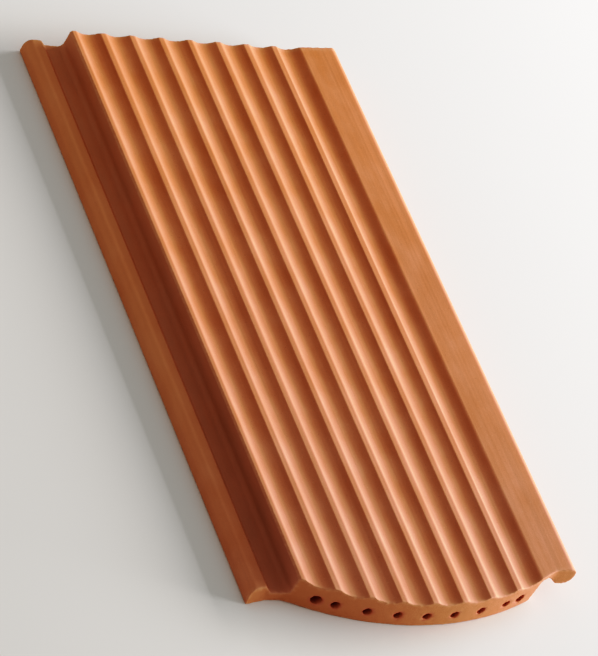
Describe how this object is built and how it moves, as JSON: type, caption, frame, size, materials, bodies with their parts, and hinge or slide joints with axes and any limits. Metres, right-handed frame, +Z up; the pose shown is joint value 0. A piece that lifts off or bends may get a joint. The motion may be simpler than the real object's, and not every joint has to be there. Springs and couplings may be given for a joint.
{
  "type": "roof tile",
  "caption": "Extruded clay interlocking roof tile with a lengthwise fluted face, a side-lap channel and rim on one side, a cover flange on the other and a bowed foot.",
  "frame": {"origin": "centre of the tile's bounding box, on the plane of the flat underside", "axes": "+X across the tile towards the cover flange, +Y along the tile from the bowed foot to the head, +Z up out of the fluted face"},
  "size_m": [0.213, 0.42, 0.0219],
  "materials": {
    "clay": "matte fired clay"
  },
  "bodies": {
    "root": {"roof_tile": "clay"}
  },
  "joints": []
}
